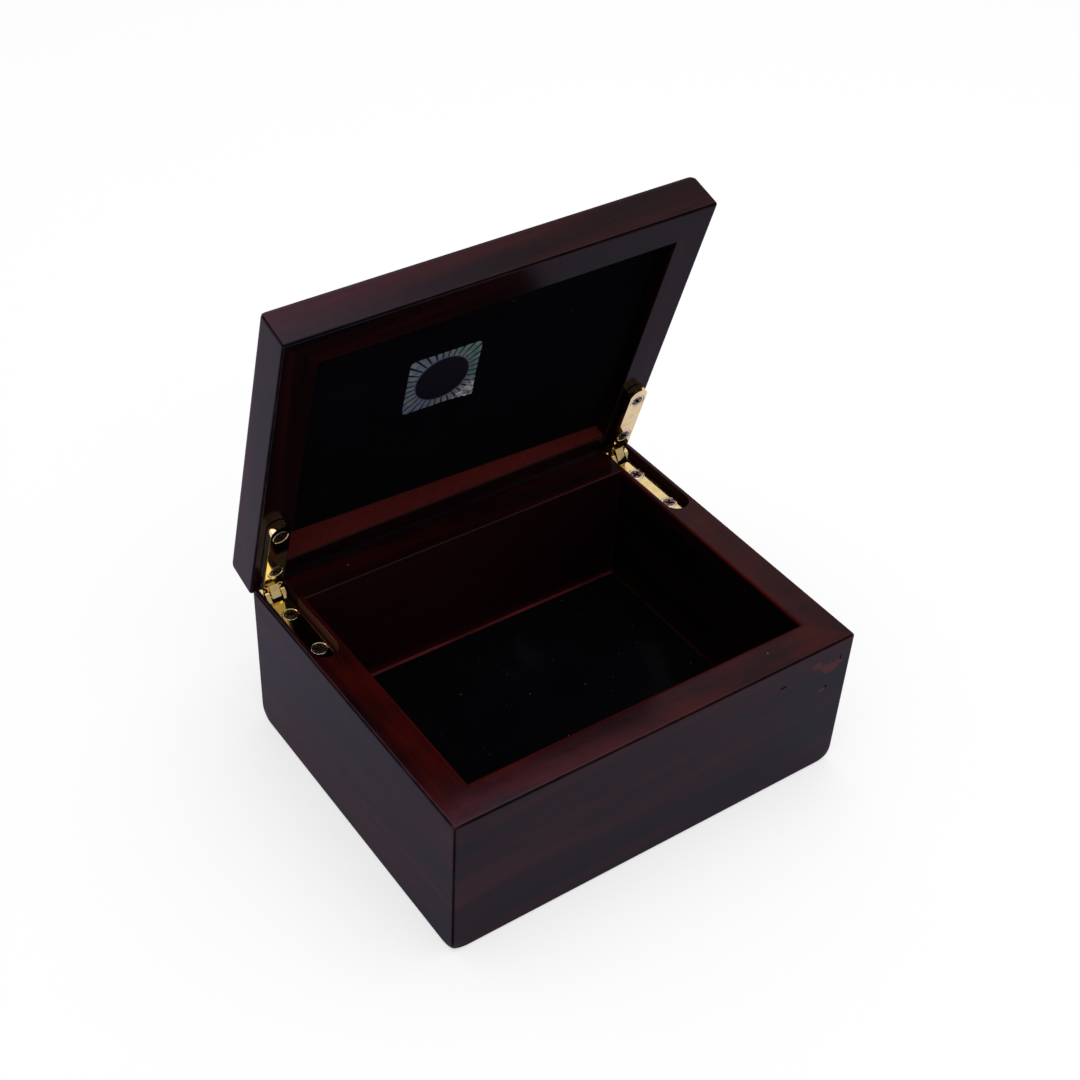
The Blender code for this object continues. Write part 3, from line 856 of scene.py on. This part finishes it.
def rayed_foil():
    """Iridescent silver foil: rays parted by thin dark lines, round a dark disc in a thin ring."""
    finish = Finish("rayed_foil", lid=True, centre=STICKER_PLACE, turn=STICKER_TURN, metallic=0.4)
    x, y, _ = finish.split()
    angle = finish.math("ARCTAN2", y, x)
    radius = finish.length(x, y)
    worn = finish.noise(scale=520, detail=3)
    waver = finish.times(finish.noise(scale=90, detail=1), 1.6)
    rays = finish.math("COSINE", finish.plus(finish.times(angle, RAYS), waver))
    drift = finish.plus(finish.times(angle, 0.7), finish.times(finish.noise(scale=240, detail=3), 5.0))
    hue = finish.plus(finish.times(finish.math("SINE", finish.times(drift, 1.9)), 0.5), 0.5)
    pastel = finish.ramp(hue, (0.0, TEAL), (0.3, LIME), (0.5, MINT), (0.7, ROSE), (1.0, BLUE))
    pastel = finish.mix(finish.fade(worn, 0.35, 0.65, 0.0, 0.5), pastel, FOIL_WORN)
    foil = finish.mix(finish.fade(rays, -0.88, -0.40), RAY_LINE, pastel)
    # The lifted corner is bare silver, painted with the light and shade of its crinkles
    crumpled = finish.above(finish.plus(x, y), 0.0172)
    silver = finish.ramp(finish.noise(scale=900, detail=2), (0.4, CREASE_SHADE_SILVER), (0.6, CREASE_HIGHLIGHT_SILVER))
    foil = finish.mix(crumpled, foil, silver)
    ring = finish.fade(radius, 0.0098, 0.0100, 1.0, 0.0)
    disc = finish.fade(radius, 0.0094, 0.0096, 1.0, 0.0)
    finish.set("Base Color", finish.mix(disc, finish.mix(ring, foil, RING_VIOLET), DISC_BLACK))
    finish.set("Roughness", finish.fade(disc, 0.0, 1.0, 0.3, 0.4))
    return finish.material


# Mitred boards

BOARDS = (("front", (0, -1), "X"), ("right", (1, 0), "Y"), ("back", (0, 1), "X"), ("left", (-1, 0), "Y"))


def hollow_block(name, low, high, mouth, step_height, step):
    """A block hollowed from its mouth and stepped wider at the other end to take a panel."""
    obj = add_block(name, (-HALF_WIDTH, -HALF_DEPTH, low), (HALF_WIDTH, HALF_DEPTH, high))
    edit(obj)
    ends = ((1, high), (-1, low)) if mouth > 0 else ((-1, low), (1, high))
    for (facing, level), wall in zip(ends, (WALL, WALL - step)):
        pick(obj, "FACE", lambda face: face.normal.z * facing > 0.5
             and same(face.calc_center_median().z, level))
        bpy.ops.mesh.inset(thickness=wall)
        bpy.ops.mesh.extrude_region_move(TRANSFORM_OT_translate={"value": (0, 0, step_height - level)})
    bpy.ops.mesh.inset(thickness=step)
    pick(obj, "FACE", lambda face: same(face.calc_center_median().z, step_height)
         and face.calc_center_median().xy.length < TOLERANCE)
    bpy.ops.mesh.delete(type="ONLY_FACE")
    bpy.ops.mesh.select_all(action="SELECT")
    bpy.ops.mesh.remove_doubles(threshold=TOLERANCE)
    leave()
    return obj


def outside(point):
    return same(abs(point.x), HALF_WIDTH) or same(abs(point.y), HALF_DEPTH)


def at_rim(point):
    return same(abs(point.x), HALF_WIDTH - WALL) or same(abs(point.y), HALF_DEPTH - WALL)


def body_edges(first, second):
    """Every outer edge of the body is rounded, and the inner edge of its rim less."""
    if outside(first) and outside(second):
        return 1.0
    inner_rim = same(first.z, BODY_TOP) and same(second.z, BODY_TOP) and at_rim(first) and at_rim(second)
    return ARRIS_RADIUS / EDGE_RADIUS if inner_rim else 0.0


def lid_edges(first, second):
    """The lid is rounded most round its top, less at its other edges, and its panel's rebate a little."""
    level = same(first.z, second.z)
    if outside(first) and outside(second):
        return 1.0 if level and same(first.z, LID_TOP) else EDGE_RADIUS / LID_EDGE_RADIUS
    if level and same(first.z, LID_RIM) and at_rim(first) and at_rim(second):
        return ARRIS_RADIUS / LID_EDGE_RADIUS
    return REBATE_RADIUS / LID_EDGE_RADIUS if level and same(first.z, LID_TOP) else 0.0


def saw_boards(block, lid):
    """Saws the hollow block at its four mitres into boards, and finishes each."""
    body, prefix = ("lid", "mahogany_rail") if lid else ("box", "mahogany_wall")
    for seed, (side, (out_x, out_y), along) in enumerate(BOARDS, start=5 if lid else 1):
        node = f"lid_{side}_rail" if lid else f"{side}_wall"
        board = copy_of(block, f"{prefix}_{side}")
        for end in (-1, 1):
            run_x, run_y = -out_y * end, out_x * end
            corner = ((out_x + run_x) * HALF_WIDTH, (out_y + run_y) * HALF_DEPTH, 0)
            saw(board, corner, Vector((run_x - out_x, run_y - out_y, 0)).normalized())
        hand_in(board, body, node,
                lacquered_board(f"lacquered_{node}", node, along, seed, lid))
    bpy.data.objects.remove(block)


def slot_cutter(x):
    """The routed slot for a hinge: open at the back, round in front."""
    half = LEAF_WIDTH / 2 + SLOT_SIDE_GAP
    front = HINGE_LINE.y - LEAF_LENGTH - SLOT_END_GAP
    cutter = add_block("slot_cutter", (x - half, front, SLOT_FLOOR),
                       (x + half, HALF_DEPTH + OVERCUT, BODY_TOP + OVERCUT))
    round_upright(cutter, half - TOLERANCE, 2 * CURVE_STEPS, lambda point: same(point.y, front))
    return cutter


def sand_foot(block):
    """Sands the four corners at the foot rounder than the edges, as they are sanded by hand."""
    score(block, Z_AXIS, [WALL_FOOT + step for step in SANDING_STEPS])
    for axis, half in ((X_AXIS, HALF_WIDTH), (Y_AXIS, HALF_DEPTH)):
        score(block, axis, [side * (half - step) for step in SANDING_STEPS for side in (-1, 1)])
    for vert in block.data.vertices:
        place = vert.co
        offsets = (HALF_WIDTH - abs(place.x), HALF_DEPTH - abs(place.y), place.z - WALL_FOOT)
        if max(offsets) < SANDING_REACH:
            pull = SANDING_DEPTH * math.prod((1 - offset / SANDING_REACH) ** 2 for offset in offsets)
            vert.co = place - Vector((math.copysign(pull, place.x), math.copysign(pull, place.y), -pull))


def make_body():
    block = hollow_block("body_block", WALL_FOOT, BODY_TOP, 1, FLOOR_STEP, BOTTOM_STEP)
    round_edges(block, EDGE_RADIUS, body_edges)
    sand_foot(block)
    for side in (-1, 1):
        work(block, slot_cutter(side * HINGE_X))
    saw_boards(block, lid=False)


def make_lid():
    block = hollow_block("lid_block", LID_RIM, LID_TOP, -1, LID_STEP_HEIGHT, LID_STEP)
    round_edges(block, LID_EDGE_RADIUS, lid_edges)
    saw_boards(block, lid=True)
    past_wall = LID_STEP - WALL - REBATE_RADIUS / 3
    x, y = HALF_WIDTH + past_wall, HALF_DEPTH + past_wall
    panel = add_block("mahogany_lid_panel", (-x, -y, LID_STEP_HEIGHT + SHOULDER_GAP), (x, y, LID_TOP))
    round_edges(panel, REBATE_RADIUS, lambda first, second: 1.0)
    hand_in(panel, "lid", "lid_top_panel",
            lacquered_board("lacquered_lid_panel", "lid_top_panel", "X", 11, True))


# Velvet and felt

def cloth_board(name, node, softness):
    """A board or sheet of the size of its solid, with soft edges."""
    low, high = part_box(node)
    obj = add_block(name, low, high)
    round_edges(obj, softness, lambda first, second: 1.0)
    return obj


def make_floor():
    pad = cloth_board("velvet_floor_pad", "floor_pad", PAD_SOFTNESS)
    cut_squares(pad, CLOTH_SQUARES)
    top = max(vert.co.z for vert in pad.data.vertices)
    for vert in pad.data.vertices:
        if vert.co.z > top - TOLERANCE:
            vert.co.z -= PAD_UNEVENNESS * (1 + noise.noise(vert.co * PAD_WAVES))
    hand_in(pad, "box", "floor_pad", black_velvet("black_floor_velvet"))
    felt = cloth_board("felt_base", "base_felt", FELT_SOFTNESS)
    hand_in(felt, "box", "base_felt", dark_felt())
    panel = frame["nodes"]["bottom_panel"]
    panel.data.materials.clear()
    panel.data.materials.append(bare_plywood())


def make_lining():
    """The velvet in the lid, padded so that it stands prouder towards the right."""
    x, y = HALF_WIDTH - WALL - CLOTH_GAP, HALF_DEPTH - WALL - CLOTH_GAP
    lining = add_block("velvet_lid_lining", (-x, -y, LINING_RIGHT), (x, y, LID_STEP_HEIGHT))
    round_edges(lining, LINING_SOFTNESS, lambda first, second: 1.0)
    cut_squares(lining, CLOTH_SQUARES)
    thickness = LID_STEP_HEIGHT - LINING_RIGHT
    for vert in lining.data.vertices:
        face = LINING_LEFT + (LINING_RIGHT - LINING_LEFT) * (vert.co.x + x) / (2 * x)
        depth = (LID_STEP_HEIGHT - vert.co.z) / thickness
        face += LINING_UNEVENNESS * (1 + noise.noise(vert.co * LINING_WAVES))
        vert.co.z = LID_STEP_HEIGHT - depth * (LID_STEP_HEIGHT - face)
    hand_in(lining, "lid", "lid_lining", black_velvet("black_lid_velvet", True))


def make_sticker():
    """The foil sticker, one corner lifted and crinkled."""
    x, y = (size / 2 for size in STICKER_SIZE)
    sticker = add_block("foil_label", (-x, -y, 0), (x, y, STICKER_THICKNESS))
    round_upright(sticker, STICKER_CORNER, CURVE_STEPS)
    cut_squares(sticker, FOIL_SQUARES)
    for vert in sticker.data.vertices:
        reach = max(0.0, 1 - math.hypot(vert.co.x - x, vert.co.y - y) / CRINKLE_REACH)
        vert.co.z -= CRINKLE_HEIGHT * reach * (0.6 + noise.noise(vert.co * CRINKLE_WAVES))
    sticker.location = STICKER_PLACE
    sticker.rotation_euler = (0, LINING_SLOPE, STICKER_TURN)
    settle(sticker)
    hand_in(sticker, "lid", "foil_sticker", rayed_foil())


# Hinges: each leaf is shaped round the pin, X across it and Y towards the back

def leaf_bar(name, low_z, high_z, end_y):
    """The bar of a leaf, its far end round in plan, its edges broken."""
    half = LEAF_WIDTH / 2
    bar = add_block(name, (-half, -LEAF_LENGTH, low_z), (half, end_y, high_z))
    round_upright(bar, LEAF_END_RADIUS, 2 * CURVE_STEPS, lambda point: same(point.y, -LEAF_LENGTH))
    return bar


def break_edges(obj):
    apply(obj, "BEVEL", limit_method="ANGLE", angle_limit=math.radians(35), width=LEAF_SOFTNESS, segments=3,
          use_clamp_overlap=True)


def knuckle(name, width):
    return add_rod(name, KNUCKLE_RADIUS, -width / 2, width / 2, turn=LAID_ALONG_X, sides=64)


def wrap(name, pieces):
    """Joins the pieces and draws the tightest skin round them all."""
    deselect()
    for piece in pieces:
        piece.select_set(True)
    bpy.context.view_layer.objects.active = pieces[0]
    bpy.ops.object.join()
    obj = bpy.context.object
    obj.name = name
    edit(obj)
    bpy.ops.mesh.select_all(action="SELECT")
    bpy.ops.mesh.convex_hull()
    leave()
    return obj


def ear_slope():
    """The angle at which an ear's slope rises from the leaf to touch the top of the knuckle."""
    reach = math.hypot(EAR_REACH, LEAF_FACE)
    return math.pi / 2 + math.atan2(LEAF_FACE, EAR_REACH) - math.acos(KNUCKLE_RADIUS / reach)


def slope_to_knuckle(obj):
    """Draws the end face at the foot of the slope on, its top edge rising to touch the knuckle."""
    slope = ear_slope()
    touch_y, touch_z = -KNUCKLE_RADIUS * math.sin(slope), KNUCKLE_RADIUS * math.cos(slope)
    edit(obj)
    pick(obj, "FACE", lambda face: face.normal.y > 0.9)
    bpy.ops.mesh.extrude_region_move(TRANSFORM_OT_translate={"value": (0, touch_y + EAR_REACH, 0)})
    pick(obj, "EDGE", lambda edge: all(same(vert.co.y, touch_y) and same(vert.co.z, -LEAF_FACE)
                                       for vert in edge.verts))
    bpy.ops.transform.translate(value=(0, 0, touch_z + LEAF_FACE))
    leave()


def countersink(name, facing):
    """The tool for a screw hole, for a face that looks up or, with facing -1, down."""
    slope = (SCREW_HEAD_RADIUS - SCREW_SHANK_RADIUS) / SCREW_HEAD_HEIGHT
    cone = add_rod(name, SCREW_SHANK_RADIUS + HOLE_GAP, -SCREW_HEAD_HEIGHT, OVERCUT,
                   top_radius=SCREW_HEAD_RADIUS + HOLE_GAP + OVERCUT * slope)
    work(cone, add_rod("shank_tool", SCREW_SHANK_RADIUS + HOLE_GAP, -SCREW_LENGTH, 0), "UNION")
    cone.rotation_euler.x = 0 if facing > 0 else math.pi
    settle(cone)
    return cone


def drill(leaf, facing):
    work(leaf, add_rod("pin_tool", PIN_RADIUS + HOLE_GAP / 2, -LEAF_WIDTH, LEAF_WIDTH, turn=LAID_ALONG_X))
    for place in SCREW_PLACES:
        work(leaf, move(countersink("screw_tool", facing), (0, -place, -facing * LEAF_FACE)))


def base_leaf(name):
    """The leaf in the slot: a bar that rises to a forked knuckle."""
    leaf = leaf_bar(name, -LEAF_BACK, -LEAF_FACE, -EAR_REACH)
    slope_to_knuckle(leaf)
    work(leaf, knuckle("knuckle", LEAF_WIDTH), "UNION")
    half = LEAF_WIDTH / 2
    foot = add_block("foot", (-half, -EAR_REACH, -LEAF_BACK), (half, KNUCKLE_FOOT, -KNUCKLE_RADIUS / 2))
    work(leaf, foot, "UNION")
    work(leaf, add_block("fork_tool", (-FORK_WIDTH / 2, -FORK_REACH, -2 * LEAF_BACK),
                         (FORK_WIDTH / 2, 2 * LEAF_BACK, 2 * LEAF_BACK)))
    break_edges(leaf)
    drill(leaf, 1)
    return leaf


def lid_leaf(name):
    """The leaf on the lid's rail: a bar with a tongue that turns between the ears."""
    leaf = leaf_bar(name, LEAF_FACE, LEAF_BACK, -SHOULDER_REACH)
    slope = ear_slope()
    back = Vector((0, math.sin(slope), -math.cos(slope)))
    saw(leaf, Vector((0, -EAR_REACH, -LEAF_FACE)) - back * SHOULDER_GAP, back)
    half = TONGUE_WIDTH / 2
    root = add_block("root", (-half, -EAR_REACH - TONGUE_ROOT, LEAF_FACE), (half, -SHOULDER_REACH, LEAF_BACK))
    toe = add_block("toe", (-half, -TONGUE_TOE, -KNUCKLE_RADIUS), (half, 0, 0))
    work(leaf, wrap("tongue", (knuckle("round", TONGUE_WIDTH), root, toe)), "UNION")
    break_edges(leaf)
    drill(leaf, -1)
    return leaf


def screw(name, turn):
    """A countersunk screw with a cross recess, the ring of its head broken."""
    flare = add_rod(name, SCREW_SHANK_RADIUS, -SCREW_HEAD_HEIGHT, 0, top_radius=SCREW_HEAD_RADIUS)
    taper = SCREW_POINT_LENGTH - SCREW_LENGTH
    work(flare, add_rod("shank", SCREW_SHANK_RADIUS, taper, -SCREW_HEAD_HEIGHT / 2), "UNION")
    point = add_rod("point", SCREW_TIP_RADIUS, -SCREW_LENGTH, taper, top_radius=SCREW_SHANK_RADIUS)
    work(flare, point, "UNION")
    round_edges(flare, SCREW_RING_RADIUS,
                lambda first, second: 1.0 if same(first.z, 0) and same(second.z, 0) else 0.0)
    half, wide = CROSS_LENGTH / 2, CROSS_WIDTH / 2
    for x, y in ((half, wide), (wide, half)):
        work(flare, add_block("cross_tool", (-x, -y, -CROSS_DEPTH), (x, y, OVERCUT)))
    flare.rotation_euler.z = turn
    settle(flare)
    return flare


def make_screw(kind, side, index, place):
    """One screw of a hinge, sunk in its leaf: head up in the base leaf, head down in the lid's."""
    lid = kind == "lid"
    way = 1 if lid else -1
    obj = screw(f"brass_{kind}_screw_{side}_{index}", -way * index * CROSS_TURN)
    obj.rotation_euler.x = math.pi if lid else 0
    settle(obj)
    move(obj, place + Z_AXIS * way * (LEAF_FACE + SCREW_SUNK))
    hand_in(obj, "lid" if lid else "box", f"{kind}_screw_{side}_{index}",
            screw_brass(f"{kind}_screw_brass_{side}_{index}", place, lid))


def make_hinge(side, x, brass, lid_brass):
    place = Vector((x, HINGE_LINE.y, HINGE_LINE.z))
    for kind, body, make, finish in (("base", "box", base_leaf, brass), ("lid", "lid", lid_leaf, lid_brass)):
        leaf = move(make(f"brass_{kind}_leaf_{side}"), place)
        hand_in(leaf, body, f"hinge_{kind}_leaf_{side}", finish)
        for index, reach in enumerate(SCREW_PLACES, start=1):
            make_screw(kind, side, index, place - Y_AXIS * reach)
    pin = add_rod(f"brass_pin_{side}", PIN_RADIUS, -PIN_HALF_LENGTH, PIN_HALF_LENGTH, turn=LAID_ALONG_X)
    apply(pin, "BEVEL", limit_method="ANGLE", width=PIN_END_RADIUS, segments=3)
    hand_in(move(pin, place), "box", f"hinge_pin_{side}", brass)


# Stage, light and camera

def make_stage():
    """The pale floor: white to the camera but for a light shadow, and faintly violet in reflections."""
    deselect()
    bpy.ops.mesh.primitive_circle_add(vertices=96, radius=FLOOR_RADIUS, fill_type="NGON",
                                      location=(0, 0, -FLOOR_DROP))
    floor = named("pale_floor")
    finish = Finish("pale_floor_paint", roughness=0.9, specular_ior_level=0.0)
    path = finish.node("LightPath").outputs
    plain = finish.mix(path["Is Glossy Ray"], FLOOR_PLAIN, FLOOR_MIRRORED)
    finish.set("Base Color", finish.mix(path["Is Camera Ray"], plain, FLOOR_SEEN))
    finish.set("Emission Color", finish.mix(path["Is Glossy Ray"], WHITE, MIRRORED_GLOW))
    mirrored = finish.fade(finish.split()[1], -0.06, 0.12, 0.33, 0.46)
    strength = finish.mix(path["Is Camera Ray"], mirrored, FLOOR_GLOW)
    finish.set("Emission Strength", finish.times(finish.seen(), strength))
    floor.data.materials.append(finish.material)


def make_room():
    """A plain white room. Reflections alone see a bright violet window behind and a dim front."""
    world = bpy.data.worlds.new("white_room")
    bpy.context.scene.world = world
    world.use_nodes = True
    wiring = Wiring(world.node_tree)
    sky = world.node_tree.nodes["Background"]
    glossy = wiring.node("LightPath").outputs["Is Glossy Ray"]
    to_right, to_back, _ = wiring.split(wiring.node("TexCoord").outputs["Generated"])
    window = wiring.times(wiring.fade(to_right, 0.36, 0.53, 1.0, 0.0), wiring.fade(to_back, 0.0, 0.25))
    window = wiring.times(glossy, window)
    wall = wiring.mix(glossy, WHITE, WALL_MIRRORED)
    wiring.feed(sky.inputs["Color"], wiring.mix(window, wall, WINDOW_VIOLET))
    front = wiring.times(glossy, wiring.fade(to_back, -0.35, 0.05, FRONT_DIMMING, 0.0))
    strength = wiring.minus(wiring.fade(wiring.seen(), 0, 1, ROOM_LIGHT, 1.0), front)
    wiring.feed(sky.inputs["Strength"], wiring.plus(strength, wiring.times(window, WINDOW_EXTRA)))


def add_softbox():
    """One large soft lamp overhead that looks at the middle of the foot."""
    deselect()
    bpy.ops.object.light_add(type="AREA", location=LAMP_PLACE)
    lamp = bpy.context.object
    lamp.name = "overhead_softbox"
    lamp.rotation_euler = (-Vector(LAMP_PLACE)).to_track_quat("-Z", "Y").to_euler()
    lamp.data.size = LAMP_SIZE
    lamp.data.energy = LAMP_POWER


def make_camera():
    deselect()
    bpy.ops.object.camera_add(location=CAMERA_PLACE, rotation=[math.radians(angle) for angle in CAMERA_TURN])
    camera = bpy.context.object
    camera.name = "camera"
    camera.data.sensor_width = 36
    camera.data.lens = CAMERA_LENS
    camera.data.shift_x, camera.data.shift_y = CAMERA_SHIFT
    bpy.context.scene.camera = camera


make_camera()
make_stage()
make_room()
add_softbox()
make_body()
make_lid()
make_floor()
make_lining()
make_sticker()
box_brass = polished_brass("polished_brass")
moving_brass = polished_brass("polished_lid_brass", True)
make_hinge("left", -HINGE_X, box_brass, moving_brass)
make_hinge("right", HINGE_X, box_brass, moving_brass)

bpy.context.scene.view_settings.view_transform = "Standard"
deselect()
